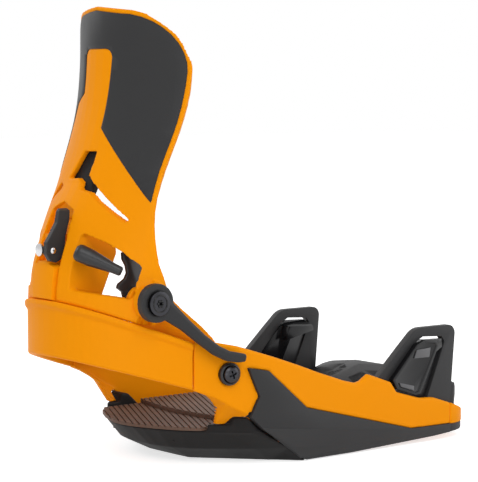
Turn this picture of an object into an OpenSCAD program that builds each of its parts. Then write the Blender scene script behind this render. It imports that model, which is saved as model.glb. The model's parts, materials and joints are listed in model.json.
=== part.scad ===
// Step-in snowboard binding for a right foot, outer (lateral) side towards -Y.
// Origin: centre of the mounting disc on the board plane, +X to the toe, +Z up.

/* [Base] */
// Overall width of the side rails
base_w = 140; // [120:1:168]
// Distance from the disc centre to the front of the toe bumper
toe_reach = 124; // [112:1:146]
// Distance from the disc centre to the back of the heelcup
heel_reach = 148; // [130:1:176]
// Distance behind the disc centre at which the rails start to close in
heel_start = 20; // [10:1:30]
// Corner radius of the toe bumper
nose_r = 18; // [12:1:20]
// Thickness of the rails
rail_t = 4; // [3:0.2:5]
// Thickness of the baseplate floor
floor_t = 5; // [4:0.2:7]
// Thickness of the cushion under the floor
sole_t = 3; // [2:0.2:5]
// Height of the heel lobe of the cushion with its footbed
lobe_h = 21; // [18:0.5:23]

/* [Disc] */
// Diameter over the teeth
disc_d = 100; // [90:1:104]
// Number of rotation teeth
disc_teeth = 72; // [36:4:90]
// Spacing of the board screws along and across
bolt_pitch = 40; // [38:1:42]
// Half width of the screw slots, for M6
slot_r = 3.3; // [3.2:0.05:3.6]
// End to end length of the screw slots
slot_len = 20; // [10:1:26]

/* [Heelcup] */
// Height of the rim at the back
rim_h = 97.2; // [84:1:114]
// Slope of the rim, rise per length
rim_slope = 0.4; // [0.3:0.02:0.46]
// Height of the band at the back
band_h = 31.8; // [26:1:38]
// Wall thickness of the band
band_t = 5; // [4:0.2:6]
// Position of the adjustment screws behind the disc centre
screw_x = 68.5; // [64:0.5:72]
// Height of the adjustment screws
screw_z = 55.5; // [53:0.5:58]

/* [Highback] */
// Height of the top edge above the board
hb_top = 262; // [220:1:310]
// Half width at the widest place
hb_half = 55; // [50:1:62]
// Wall thickness
hb_t = 4; // [3.2:0.2:5]
// Radius of the top corners
hb_corner = 36; // [16:1:40]
// Thickness of the grey skin on the outside
skin_t = 0.9; // [0.6:0.1:1.4]

/* [Hinge and latch] */
// Position of the highback hinge behind the disc centre
hinge_x = 114; // [104:1:122]
// Height of the highback hinge
hinge_z = 98; // [92:1:106]
// Outer radius of the hinge sleeve
sleeve_r = 5; // [4:0.25:6]
// Length of the release lever from hinge to tip
lever_len = 60; // [50:1:72]
// Radius of the latch shaft
shaft_r = 2.5; // [2:0.25:3]

/* [Toe hooks] */
// Height of the hook frames above the board
hook_h = 70; // [60:1:84]
// Thickness of the hook frames
hook_t = 4.5; // [3.6:0.2:6]
// Position of the middle of the hooks in front of the disc centre
hook_x = 88; // [84:1:92]

/* [Clearances] */
// Radial clearance of a shaft that turns in a bore
run_gap = 0.06; // [0.02:0.01:0.1]
// Gap between neighbouring pieces of one body
fit_gap = 0.1; // [0.05:0.05:0.2]
// Gap between pieces that move past each other
move_gap = 0.5; // [0.3:0.1:0.8]

/* [Hidden] */
$fn = 48;
eps = 0.01;
orange = [0.96, 0.56, 0.06];
dark = [0.25, 0.25, 0.26];
black = [0.09, 0.09, 0.10];
chrome = [0.80, 0.80, 0.82];
half = base_w / 2;
floor_z = sole_t + 0.2;
// Height of the underside at the seam of the toe bumper
toe_lift = floor_z + 1;
deck_z = floor_z + floor_t;
heel_a = heel_reach - heel_start;
nose_x = toe_reach - nose_r;
side_exp = 2.4;
back_exp = 2.15;

// ---- plan curve of the rails and the heelcup ----

// Half width of the rails at station x
function plan_w(x) =
    x < -heel_start ? half * pow(1 - pow((-heel_start - x) / heel_a, side_exp), 1 / back_exp)
    : x > nose_x ? half - nose_r + sqrt(max(0, pow(nose_r, 2) - pow(x - nose_x, 2)))
    : half;
// Change of the half width with x
function plan_slope(x) = (plan_w(x + 0.1) - plan_w(x - 0.1)) / 0.2;
// Point at station x, moved outwards by o along the normal of the curve
function plan_pt(x, o) =
    let (m = plan_slope(x), k = sqrt(1 + m * m)) [x - o * m / k, plan_w(x) + o / k];
// Point of the heel curve at angle a, 0 and 180 at the sides and 90 at the back
function heel_raw(a) = [
    -heel_start - heel_a * pow(sin(a), 2 / side_exp),
    -half * sign(cos(a)) * pow(abs(cos(a)), 2 / back_exp)
];
function heel_pt(a, o) =
    let (p = heel_raw(a), d = heel_raw(a + 0.5) - heel_raw(a - 0.5), n = [-d.y, d.x] / norm(d)) p + o * n;
// Angle of the heel curve at station x on the -Y side
function heel_angle(x) = asin(pow((-heel_start - x) / heel_a, side_exp / 2));

function rim_z(x) = rim_h - rim_slope * (x + heel_reach);
function band_low(x) = rim_h - band_h - 0.31 * (x + heel_reach);

// ---- small helpers ----

// Direction a ring of points faces
function facing(r, i = 1) =
    i > len(r) - 2 ? [0, 0, 0] : cross(r[i] - r[0], r[i + 1] - r[0]) + facing(r, i + 1);
function reversed(r) = [for (i = [len(r) - 1 : -1 : 0]) r[i]];

// Closed skin through a list of rings with equally many points each
module loft(rings) {
    n = len(rings[0]);
    m = len(rings);
    back = facing(rings[0]) * (rings[1][0] - rings[0][0]) > 0;
    sides = [for (i = [0 : m - 2], j = [0 : n - 1])
        let (a = i * n + j, b = i * n + (j + 1) % n) each [[a, b, a + n], [b, b + n, a + n]]];
    ends = [[for (j = [n - 1 : -1 : 0]) j], [for (j = [0 : n - 1]) (m - 1) * n + j]];
    polyhedron([for (r = rings) each back ? reversed(r) : r], concat(sides, ends), convexity = 6);
}

// A shape and its mirror image on the medial side
module both_sides() {
    children();
    mirror([0, 1, 0]) children();
}

// Extrudes a side view drawn in X and Z from y0 to y1, both on the -Y side as positive numbers
module side_slab(y0, y1) {
    translate([0, -y0, 0]) rotate([90, 0, 0]) linear_extrude(y1 - y0) children();
}

// Extrudes a side view across the whole binding
module across(w = 400) {
    translate([0, w / 2, 0]) rotate([90, 0, 0]) linear_extrude(w) children();
}

// Extrudes a front view drawn in Y and Z along X
module along(x0, x1) {
    translate([x0, 0, 0]) rotate([90, 0, 90]) linear_extrude(x1 - x0) children();
}

module rounded_slot(l, r) {
    hull() for (s = [-1, 1]) translate([s * (l / 2 - r), 0]) circle(r);
}

// Places a part on the outside of a rail, its +Z along the outward normal
module on_rail(x, z, o = 0) {
    p = plan_pt(x, o);
    translate([p.x, -p.y, z]) rotate([0, 0, -atan(plan_slope(x))]) rotate([90, 0, 0]) children();
}

// ---- baseplate ----

// Top edge of the rails: long fall, a hump behind the toe hook and a notch for its catch
rail_top = [
    [-90, 74.5], [-78, 74], [-62, 70.6], [-37, 62.6], [-20, 56.8], [-4, 50.9], [17, 43.8], [26, 41.6],
    [30, 42.4], [36, 46], [54, 39.6], [59, 33.1], [79, 27.4], [90, 26.8], [104, 22.3], [124, 15]
];
// Lower edge of the rails with the legs that stand on the cushion
rail_low = [
    [-90, 47.2], [-82, 44], [-77, 40.5], [-72.5, 36], [-70, 25], [-64, 24.7], [-62.5, 29.7], [-55, 29.6],
    [-46, 21.6], [-25.4, 9], [-14, floor_z], [50, floor_z], [104, toe_lift], [131, toe_lift + 1]
];
// Height of the crease below which the legs tuck in, and how far
crease_z = [[-90, 48.2], [-82, 45], [-62.5, 34.4], [-52, 29.4], [-45, 26], [26, 16], [104, 12]];
crease_in = [
    [-90, 0], [-82, 0.6], [-77, 4], [-72.5, 8], [-70, 13], [-64, 12], [-62.5, 6], [-54, 0.5], [-50, 0], [104, 0]
];
seam_x = 104;
cup_front = -90;
rail_steps = [
    -89.7, -86, -82, -79.5, -77, -74.5, -72.5, -70, -67, -64, -62.5, -58, -55, -50.5, -46, -37, -25.4, -20,
    -14, -4, 6, 17, 26, 30, 36, 45, 54, 59, 69, 79, 90, 97, seam_x
];

function rail_ring(x) =
    let (zt = lookup(x, rail_top), zc = lookup(x, crease_z), zb = lookup(x, rail_low), k = lookup(x, crease_in))
    [for (q = [
        [-rail_t - k, zb], [-k, zb], [0, max(zc, zb + 0.4)], [0, zt - 1], [-1, zt], [0.6 - rail_t, zt],
        [-rail_t, zt - 0.6], [-rail_t, max(zc, zb + 0.4)]
    ]) let (p = plan_pt(x, q[0])) [p.x, p.y, q[1]]];

module rail() {
    loft([for (x = rail_steps) rail_ring(x)]);
}

// Ring wheel of rotation teeth, drawn flat
module tooth_ring(d, n, depth, gap) {
    r = d / 2 + gap;
    polygon([for (i = [0 : n - 1], k = [0, 0.5]) let (a = (i + k) * 360 / n, q = k == 0 ? r : r - depth)
        [q * cos(a), q * sin(a)]]);
}

disc_step = 2;
tooth_depth = 1.1;
core_r = disc_d / 2 - 6;
hook_in = half - rail_t - fit_gap - hook_t;
hook_screws = [hook_x - 42, hook_x + 8];

module floor_plan() {
    w = half - rail_t;
    difference() {
        polygon(concat(
            [[-15, w - 0.8], [seam_x, w + 0.6], [seam_x, w - fit_gap]], nose_curve(-rail_t - fit_gap),
            [[seam_x, fit_gap - w], [seam_x, -w - 0.6], [-15, 0.8 - w], [-28, -50], [-47, -29], [-60, -12],
            [-60, 12], [-47, 29], [-28, 50]]
        ));
        circle(core_r + move_gap, $fn = 96);
    }
}

module baseplate() {
    color(orange) difference() {
        union() {
            both_sides() rail();
            difference() {
                translate([0, 0, floor_z]) linear_extrude(floor_t) floor_plan();
                across() polygon([[50, 0], [50, floor_z], [131, toe_lift + 2.2], [131, 0]]);
            }
            translate([0, 0, deck_z - eps]) difference() {
                cylinder(r = disc_d / 2 + 2.8, h = 0.8, $fn = 96);
                translate([0, 0, -1]) cylinder(r = disc_d / 2 + 0.6, h = 3, $fn = 96);
            }
        }
        translate([0, 0, floor_z + disc_step])
            linear_extrude(floor_t) tooth_ring(disc_d, disc_teeth, tooth_depth, 0.15);
        both_sides() panel_body(fit_gap, 3);
        both_sides() on_rail(-screw_x, screw_z, -rail_t - 3)
            linear_extrude(rail_t + 6) rounded_slot(13, 3.1);
        both_sides() on_rail(-screw_x, screw_z, -1) cylinder(r = 6.6, h = 4);
        both_sides() for (x = hook_screws) translate([x, -hook_in + 6, 0]) cylinder(r = 2.55, h = 30);
    }
}

// ---- cushion and footbeds ----

lobe_reach = 96;
footbed_w = half - 23;
// Plan of the heel lobe on the ground, half way up and under the footbed
lobe_low = [[-60, 0], [-60, 8], [-60, 13], [-60, 18.5], [-53.5, 26], [-47, 33], [-39, 42], [-28, half - 15.5],
    [-14, half - 1]];
lobe_mid = [[-82, 0], [-82, 9], [-81, 15], [-78, 25], [-73, 34], [-66, 41.5], [-57, half - 20.5],
    [-44, half - 10], [-25.4, half - 0.8]];
lobe_rim = [[-lobe_reach, 0], [-95, 9], [-93, 15], [-89, 25], [-82, 38], [-76, footbed_w - 2],
    [-69.5, half - 18.5], [-62.6, half - 11.5], [-53, half - 2]];
footbed_t = 2;
rim_low_z = sole_t + lobe_h - 3.2;

function lobe_ring(pts, z) = concat(
    [for (i = [len(pts) - 1 : -1 : 1]) [pts[i].x, -pts[i].y, z]], [for (p = pts) [p.x, p.y, z]],
    [[-12, half - 1, z], [-12, 1 - half, z]]
);

module heel_lobe() {
    intersection() {
        loft([lobe_ring(lobe_low, -0.4), lobe_ring(lobe_mid, 9), lobe_ring(lobe_rim, rim_low_z + 0.6)]);
        across() polygon([[-120, 0], [-14, 0], [-14.2, 1], [-25.6, 8.8], [-45.4, rim_low_z], [-120, rim_low_z]]);
    }
}

// Raised corner of the cushion beside the leg of a rail
module shoulder() {
    intersection() {
        translate([0, 0, rim_low_z - 1]) linear_extrude(40) polygon([
            [-70.3, half - 21.2], [-69.3, half - 18.9], [-62.4, half - 11.9], [-52.9, half - 2.5],
            [-44, half - 2], [-44, half - 21.2]
        ]);
        across() polygon([[-72, 10], [-46.2, 10], [-46.2, 21.2], [-55.2, 29.3], [-59.8, 29.4], [-61, 24.5],
            [-72, 24.5]]);
    }
}

module base_cushion() {
    color(black) difference() {
        union() {
            linear_extrude(sole_t) polygon([
                [-20, half - 12], [-14.4, half - 2.7], [8, half - 2.7], [20, half - 12], [52, half - 22],
                [62, half - 40], [62, 40 - half], [52, 22 - half], [20, 12 - half], [8, 2.7 - half],
                [-14.4, 2.7 - half], [-20, 12 - half]
            ]);
            heel_lobe();
            both_sides() shoulder();
        }
        translate([0, 0, floor_z - 0.1]) linear_extrude(floor_t + 0.4) offset(delta = 0.3) floor_plan();
        translate([0, 0, floor_z - 0.1]) cylinder(r = disc_d / 2 + 3, h = 60, $fn = 96);
        translate([0, 0, -1]) cylinder(r = core_r + 1.5, h = 9, $fn = 96);
    }
}

// Slanting grooves that give the footbeds grip
module grip_grooves(x0, n, pitch, z) {
    for (i = [0 : n - 1]) translate([x0 + i * pitch, 0, z - 0.7])
        rotate([0, 0, -28]) translate([-0.9, -90, 0]) cube([1.8, 180, 2]);
}

footbed_z = rim_low_z + fit_gap;
footbed_top = footbed_z + footbed_t;
module heel_footbed() {
    color(black) difference() {
        translate([0, 0, footbed_z]) linear_extrude(footbed_t) difference() {
            intersection() {
                polygon([for (p = lobe_ring(lobe_rim, 0)) [p.x, p.y]]);
                translate([-lobe_reach, -footbed_w]) square([60, 2 * footbed_w]);
            }
            circle(disc_d / 2 + 4, $fn = 96);
        }
        grip_grooves(-130, 22, 6.4, footbed_top);
    }
}

bed_t = 2.4;
bed_end = 54;
module mid_footbed() {
    z = footbed_top + fit_gap;
    color(black) difference() {
        union() {
            translate([0, 0, z]) linear_extrude(bed_t) polygon(concat(
                [[bed_end, -footbed_w], [bed_end, footbed_w]],
                [for (y = [footbed_w : -footbed_w / 4 : -footbed_w]) [-54 + 7 * pow(y / footbed_w, 2), y]]
            ));
            translate([-25, -footbed_w, deck_z + fit_gap])
                cube([bed_end + 25, 2 * footbed_w, z - deck_z]);
        }
        translate([0, 0, 1]) cylinder(r = disc_d / 2 + 3.2, h = z - 2.2, $fn = 96);
        grip_grooves(-90, 24, 6.4, z + bed_t);
    }
}

// ---- side panels ----

panel_t = 2.4;
module panel_outline(gap = 0) {
    offset(delta = gap) polygon([
        [-56.7, 58.1], [-42, 55.1], [-13.2, 31], [71.3, 9.6], [seam_x, 9.2], [seam_x, 4], [90, 3],
        [60, 1.9], [22, 0.7], [-13.6, 0.6], [-25.4, 9.2], [-46, 21.8], [-55, 29.8], [-48.6, 41]
    ]);
}

module panel_body(gap = 0, extra = 0) {
    mirror([0, 1, 0]) side_slab(half - panel_t - gap, half + 0.5 + extra) panel_outline(gap);
}

// Low ridge that breaks the lower half of the panel into facets
module panel_ridge() {
    y = half + 0.4;
    polyhedron([
        [-44, y, 21.2], [66, y, 10.2], [seam_x - 2, y, 5.2], [24, y, 1.1], [-12.6, y, 1.1], [-18, y + 1.7, 7.6]
    ], [[5, 1, 0], [5, 2, 1], [5, 3, 2], [5, 4, 3], [5, 0, 4], [0, 1, 2, 3, 4]]);
}

module side_panel() {
    color(dark) union() {
        panel_body();
        panel_ridge();
    }
}

module side_panel_medial() {
    side_panel();
}

module side_panel_lateral() {
    mirror([0, 1, 0]) side_panel();
}

// ---- toe end ----

function nose_curve(o) = [for (a = [90 : -9 : -90])
    let (s = a >= 0 ? 1 : -1)
    [nose_x + (nose_r + o) * cos(a), s * (half - nose_r) + (nose_r + o) * sin(a)]];
module nose_ring(o0, o1) {
    x = seam_x + fit_gap;
    outer = concat([[x, half + o1]], nose_curve(o1), [[x, -half - o1]]);
    inner = concat([[x - 5, half + o0]], nose_curve(o0), [[x - 5, -half - o0]]);
    difference() {
        polygon(outer);
        polygon(inner);
    }
}

skid_z = 9;
module toe_bumper() {
    color(orange) intersection() {
        linear_extrude(40) nose_ring(-rail_t, 0);
        across() polygon([[seam_x - 1, skid_z], [toe_reach + 5, skid_z], [toe_reach + 5, 11],
            [toe_reach, lookup(toe_reach, rail_top)], [seam_x - 1, 22.6]]);
    }
}

module toe_skid() {
    color(dark) intersection() {
        linear_extrude(skid_z - fit_gap / 2) nose_ring(-rail_t, -0.3);
        across() polygon([[seam_x - 1, toe_lift - 0.2], [seam_x - 1, 20], [toe_reach + 5, 20],
            [toe_reach + 5, toe_lift + 2.6], [toe_reach - 10, toe_lift + 0.5]]);
    }
}

ramp_z = deck_z + fit_gap;
ramp_wall = 3;
ramp_half = half - rail_t - hook_t - 4;
ramp_front = toe_reach - rail_t;
// Body of the ramp set in by e, with the underside left open
module ramp_body(e = 0) {
    b = ramp_z - 2 * e;
    w = ramp_half;
    f = ramp_front;
    corner = half - 9;
    intersection() {
        across(2 * corner) offset(delta = -e) polygon([
            [70, b], [70, 31], [74, 36], [88, 39.9], [104, 39.6], [f - 5, 34.6], [f + 2, 29], [f + 2, 24],
            [f - 2.5, 20], [f - 2.5, b]
        ]);
        along(50, f + 4) offset(delta = -e) polygon([
            [-corner, b], [-corner, 31.6], [9 - w, 36], [-22, 40], [22, 40], [w - 9, 36], [corner, 31.6],
            [corner, b]
        ]);
        linear_extrude(60) offset(delta = -e) polygon([
            [50, -w], [hook_x + 19.8, -w], [hook_x + 19.8, -corner], [f - 4, -corner], [f + 2, 5 - corner],
            [f + 2, corner - 5], [f - 4, corner], [hook_x + 19.8, corner], [hook_x + 19.8, w], [50, w]
        ]);
    }
}

module toe_ramp() {
    color(dark) union() {
        difference() {
            ramp_body();
            ramp_body(ramp_wall);
            for (i = [-9 : 9]) translate([ramp_front + 2.6, i * 5.6, 0]) cylinder(r = 1.4, h = 60, $fn = 12);
            both_sides() ramp_pocket(0);
        }
        intersection() {
            ramp_body();
            difference() {
                both_sides() ramp_pocket(ramp_wall);
                both_sides() ramp_pocket(0);
            }
        }
        intersection() {
            ramp_body();
            ramp_body(ramp_wall - 0.5);
            union() {
                for (y = [-22, 0, 22]) translate([50, y - 1.1, 0]) cube([80, 2.2, 60]);
                translate([86, -ramp_half + 15, 0]) cube([2.2, 2 * ramp_half - 30, 60]);
            }
        }
    }
}

// Room for the foot of a toe hook, grown by e
module ramp_pocket(e) {
    translate([50, -ramp_half - 1, 0]) cube([hook_x - 33.8 + e, ramp_half - hook_in + 12.2 + e, deck_z + 6 + e]);
}

// ---- disc ----

module disc() {
    color(black) difference() {
        union() {
            translate([0, 0, floor_z + disc_step + 0.05])
                linear_extrude(floor_t - disc_step + 1.2) tooth_ring(disc_d, disc_teeth, tooth_depth, 0);
            cylinder(r = core_r, h = floor_z + disc_step + 1, $fn = 96);
        }
        for (x = [-1, 1], y = [-1, 1]) translate([x * bolt_pitch / 2, y * bolt_pitch / 2, 0]) {
            translate([0, 0, -1]) linear_extrude(20) slot_2d(slot_len, slot_r);
            translate([0, 0, 4.4]) linear_extrude(20) slot_2d(slot_len + 7, slot_r + 3.5);
        }
        translate([0, 0, deck_z - 1.2]) difference() {
            cylinder(r = disc_d / 2 - 5, h = 6, $fn = 96);
            translate([0, 0, -1]) cylinder(r = disc_d / 2 - 12, h = 8, $fn = 96);
        }
    }
}

// Slot made of true round ends, along X
module slot_2d(l, r) {
    square([l - 2 * r, 2 * r], center = true);
    for (s = [-1, 1]) translate([s * (l / 2 - r), 0]) circle(r);
}

// ---- heelcup ----

lip_out = 2.4;
band_out = 0.8;
ear_t = 3.4;

function band_ring(a) =
    let (zl = band_low(heel_raw(a).x))
    [for (q = [
        [-band_t + band_out, -1], [band_out - 1, -1], [band_out, 1 - 1000], [band_out, 5],
        [lip_out, 3.4], [lip_out, 0.8], [lip_out - 0.8, 0], [-band_t + band_out + 1, 0],
        [-band_t + band_out, 1]
    ]) let (p = heel_pt(a, q[0])) [p.x, p.y, q[1] == -1 ? zl : q[1] < -1 ? zl + 1 : rim_z(p.x) - q[1]]];

module band() {
    a0 = heel_angle(cup_front - 0.4);
    n = 34;
    loft([for (i = [n : -1 : 0]) band_ring(a0 + (180 - 2 * a0) * i / n)]);
}

eye_out = plan_w(-hinge_x) - 6.6;
// Inner or outer line of an ear in plan: flat at the hinge, then out to the inside of the rail
function ear_line(o) = concat(
    [[-hinge_x - 9, eye_out + o], [-hinge_x + 10, eye_out + 0.6 + o]],
    [for (q = [[-96, 10.6], [-88, 9], [-76, 5.7], [-64, 5.7], [-50, 5.7]]) plan_pt(q[0], o - q[1])]
);
module ear_plan(o0, o1) {
    polygon(concat(ear_line(o1), reversed(ear_line(o0))));
}

ear_r = 8.2;
// Side view of an ear: hinge eye, brace down to the rail and tongue for the screw
module ear_side() {
    translate([-hinge_x, hinge_z]) circle(ear_r);
    polygon([
        [-hinge_x - 5.4, hinge_z - 6], [-hinge_x + 1.5, hinge_z + 8], [-99, 102.6], [-91, 94],
        [-79.5, 82], [-73, 74], [-72, 66], [-52, 62], [-52, 49], [-86, 50], [-98, 66], [-hinge_x - 4.5, 76],
        [-hinge_x - 4.5, 84]
    ]);
}

module heelcup() {
    color(orange) difference() {
        union() {
            band();
            both_sides() intersection() {
                linear_extrude(140) ear_plan(-ear_t, 0);
                across() ear_side();
            }
            both_sides() intersection() {
                linear_extrude(140) ear_plan(-1, 12);
                translate([0, 0, 40]) linear_extrude(100) polygon(concat(
                    [for (x = [-122 : 4 : -94]) plan_pt(x, -band_t + band_out + 0.4)], [[-94, 30], [-122, 30]]));
                across() polygon([[-122, 68], [-94, 56], [-94, 70], [-122, 80]]);
            }
        }
        both_sides() on_rail(-screw_x, screw_z, -rail_t - 8) cylinder(r = 3.1, h = 12);
        translate([-hinge_x, 100, hinge_z]) rotate([90, 0, 0]) cylinder(r = sleeve_r, h = 200);
    }
}

module heelcup_screws() {
    color(black) both_sides() on_rail(-screw_x, screw_z) difference() {
        union() {
            translate([0, 0, -11]) cylinder(r = 2.9, h = 14);
            translate([0, 0, 2.0]) rotate_extrude() polygon([[0, 0], [4.9, 0], [4.6, 1.6], [3.2, 2.6], [0, 3]]);
        }
        for (a = [0, 90]) rotate([0, 0, a + 20]) translate([-2.4, -0.55, 3]) cube([4.8, 1.1, 4]);
    }
}

module heelcup_washers() {
    color(black) both_sides() on_rail(-screw_x, screw_z) difference() {
        translate([0, 0, -0.9]) rotate_extrude()
            polygon([[2.96, 0], [6.5, 0], [6.5, 2.6], [5.6, 3.4], [5.1, 3.4], [5.1, 2.85], [2.96, 2.85]]);
    }
}

module heelcup_nuts() {
    color(chrome) both_sides() on_rail(-screw_x, screw_z, -5.85 - ear_t) difference() {
        translate([0, 0, -3.2]) cylinder(r = 5, h = 3.1, $fn = 6);
        translate([0, 0, -4]) cylinder(r = 2.96, h = 6);
    }
}

// ---- toe hooks ----

module hook_outline() {
    polygon(concat(
        [[hook_x - 56, deck_z + fit_gap], [hook_x - 56, 34], [hook_x - 22.5, hook_h - 11]],
        [for (a = [128 : -10 : 88]) [hook_x - 5 + 13 * cos(a), hook_h - 13 + 13 * sin(a)]],
        [for (a = [84 : -14 : 0]) [hook_x + 18 + 5.5 * cos(a), hook_h - 5.5 + 5.5 * sin(a)]],
        [[hook_x + 18.6, deck_z + fit_gap]]
    ));
}

module hook_window() {
    polygon([
        [hook_x - 9, hook_h - 8], [hook_x - 4, hook_h - 5.6], [hook_x + 12, hook_h - 6.6],
        [hook_x + 14.6, hook_h - 10], [hook_x - 2, 22], [hook_x - 32, 28], [hook_x - 31, 39]
    ]);
}

module toe_hook() {
    color(dark) difference() {
        union() {
            side_slab(hook_in, hook_in + hook_t) hook_outline();
            translate([hook_x - 50, -hook_in - 1, deck_z + fit_gap]) cube([66, 12, 3]);
        }
        translate([0, 1, 0]) side_slab(hook_in, hook_in + hook_t + 2) hook_window();
        for (x = hook_screws) translate([x, -hook_in + 6, 0]) cylinder(r = 2.55, h = 30);
    }
}

module toe_hook_lateral() {
    toe_hook();
}

module toe_hook_medial() {
    mirror([0, 1, 0]) toe_hook();
}

// Outline of the catch strap in side view
module catch_outline() {
    polygon([
        [hook_x - 29, 34.8], [hook_x - 13.5, 29.8], [hook_x - 9.6, 30.4], [hook_x + 5.6, 58.6],
        [hook_x + 3.6, 61.6], [hook_x - 6, 62.8], [hook_x - 12.6, 60.4], [hook_x - 32.4, 40.6]
    ]);
}

module toe_catch() {
    inner = hook_in - 7;
    color(black) union() {
        side_slab(half - rail_t + 0.2, half - 0.2) catch_outline();
        side_slab(hook_in + 0.2, half - rail_t + 0.4) offset(delta = -2.2) catch_outline();
        side_slab(hook_in + 1.8, half - rail_t + 0.4) polygon([
            [hook_x - 11, 50], [hook_x + 1, 51], [hook_x + 12, 57], [hook_x + 11.4, 62],
            [hook_x - 5, 62.6], [hook_x - 9, 60]]);
        hull() {
            side_slab(hook_in + 2, hook_in + hook_t) polygon([[hook_x - 11, 52], [hook_x + 12, 56.5],
                [hook_x + 11.4, 62], [hook_x - 8, 61]]);
            side_slab(inner, inner + 3) polygon([[hook_x - 11, 50.6], [hook_x + 12.4, 55.6],
                [hook_x + 12, 58.6], [hook_x - 9, 59.6]]);
        }
    }
}

module toe_catch_lateral() {
    toe_catch();
}

module toe_catch_medial() {
    mirror([0, 1, 0]) toe_catch();
}

module toe_hook_screws() {
    color(chrome) both_sides() for (x = hook_screws)
        translate([x, -hook_in + 6, 0]) difference() {
            union() {
                translate([0, 0, floor_z + 1]) cylinder(r = 2.5, h = 9);
                translate([0, 0, deck_z + 3.15]) cylinder(r = 4.4, h = 2.4);
            }
            translate([0, 0, deck_z + 4]) cylinder(r = 1.7, h = 4, $fn = 6);
        }
}

// ---- highback shell ----

// Sections: share of the height, spine behind the hinge, half width, depth, roundness
hb_foot = 88;
hb_sections = [
    [0, 35.5, hb_half + 1.5, 52, 0.7],
    [0.11, 35, hb_half + 1, 47, 0.6],
    [0.187, 33, hb_half - 2, 41, 0.45],
    [0.322, 24.5, hb_half - 4.5, 31, 0.15],
    [0.448, 13, hb_half - 5, 24, 0],
    [0.644, 2, hb_half - 2, 26, 0],
    [0.805, -2, hb_half, 27, 0],
    [1.02, -2.6, hb_half, 26.6, 0]
];

function seg(t, x, i = 0) = i >= len(t) - 2 || x < t[i + 1][0] ? i : seg(t, x, i + 1);
function rise(t, i, c) =
    let (a = max(i - 1, 0), b = min(i + 1, len(t) - 1)) (t[b][c] - t[a][c]) / (t[b][0] - t[a][0]);
// Smooth value of column c at x
function flow(t, x, c) =
    let (i = seg(t, x), h = t[i + 1][0] - t[i][0], u = (x - t[i][0]) / h, v = 1 - u)
    t[i][c] * v * v * (1 + 2 * u) + t[i + 1][c] * u * u * (3 - 2 * u)
    + h * rise(t, i, c) * u * v * v - h * rise(t, i + 1, c) * v * u * u;

hb_round = 0.5;
function hb_raw(z, u) =
    let (
        f = (z - hb_foot) / (hb_top - hb_foot),
        s = sin(84 * u) / sin(84),
        q = min(abs(s), 0.9995),
        open = (sqrt(pow(hb_round, 2) + s * s) - hb_round) / (sqrt(pow(hb_round, 2) + 1) - hb_round),
        full = 1 - pow(1 - pow(q, 2.2), 0.4),
        b = flow(hb_sections, f, 4)
    )
    [-hinge_x - flow(hb_sections, f, 1) + flow(hb_sections, f, 3) * ((1 - b) * open + b * full),
     flow(hb_sections, f, 2) * s];
// Point of the shell, moved outwards by o
function hb_pt(z, u, o) =
    let (p = hb_raw(z, u), d = hb_raw(z, u + 0.01) - hb_raw(z, u - 0.01), n = [-d.y, d.x] / norm(d))
    [p.x + o * n.x, p.y + o * n.y, z];

hb_cols = 26;
hb_rows = 25;
// Section parameter at the half width w near the latch
function hb_u(w) = asin(w / (hb_half - 4.5) * sin(84)) / 84;
// Layer of the shell between offsets o0 (inner) and o1 (outer), from z0 to z1
module hb_layer(o0, o1, z0, z1, rows = hb_rows, cols = hb_cols, reach = 1) {
    us = [for (j = [0 : cols]) (-1 + 2 * j / cols) * reach];
    loft([for (i = [0 : rows]) let (z = z0 + (z1 - z0) * i / rows)
        concat([for (u = us) hb_pt(z, u, o1)], [for (k = [cols : -1 : 0]) hb_pt(z, us[k], o0)])]);
}

// Block behind the shell: its back follows the shell at offset o, its front is flat
module hb_core(o, w, front, z0, z1) {
    us = [for (j = [-6 : 6]) j / 6 * hb_u(w)];
    loft([for (i = [0 : 8]) let (z = z0 + (z1 - z0) * i / 8)
        concat([for (u = us) hb_pt(z, u, o)], [[front, w, z], [front, -w, z]])]);
}

// Front view of the top edge with its round corners, set in by e
module hb_crown(e = 0) {
    r = hb_corner;
    w = hb_half - e;
    t = hb_top - e;
    polygon(concat(
        [[-90, 60], [90, 60], [90, t - r - 12], [w + 2, t - r - 10]],
        [for (a = [0 : 10 : 90]) [w - r + r * cos(a), t - r + (r - 2) * sin(a)]],
        [[0, t]],
        [for (a = [90 : 10 : 180]) [r - w + r * cos(a), t - r + (r - 2) * sin(a)]],
        [[-w - 2, t - r - 10], [-90, t - r - 12]]
    ));
}

// Everything above the rim of the heelcup
module above_rim(gap) {
    across() polygon([
        [-260, rim_z(-260) + gap], [120, rim_z(120) + gap], [120, 500], [-260, 500]
    ]);
}

rim_gap = 1.2;
// Front view of the openings that lighten the upper shell: one large and one slit
module upper_openings() {
    polygon([
        [5.5, 164.5], [-2, 180], [-11.5, 180.4], [-10.6, 167], [-16.2, 162], [-39.8, 143.4], [-39, 141.2],
        [-21.5, 152.8], [-15.4, 157.4], [-8, 159], [-6.7, 163], [-3.2, 165.2]
    ]);
    polygon([[10.6, 160.5], [16.2, 162], [39, 142.8], [38.7, 141.2], [21.5, 152.8], [11, 158.5]]);
}

// Front view of the side window beside the latch
module side_window() {
    polygon([
        [-19.4, 133.6], [-21, 135], [-33, 130.4], [-41, 125.6], [-49, 118.6], [-49.8, 116.6],
        [-49.2, 103], [-47.8, 99.6], [-39.5, 101.4], [-21.4, 104], [-19.4, 105]
    ]);
}

trough_half = 11.6;
trough_depth = 8.6;
module trough_outline(e = 0) {
    polygon([
        [-9.6 + e, 80], [9.6 - e, 80], [trough_half - e, 118], [trough_half - e, 132], [10 - e, 147.6],
        [0, 152 - e], [-10 + e, 147.6], [-trough_half + e, 132], [-trough_half + e, 118]
    ]);
}

latch_x = -130.5;
latch_z = 120;
housing_half = 19.4;

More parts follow.
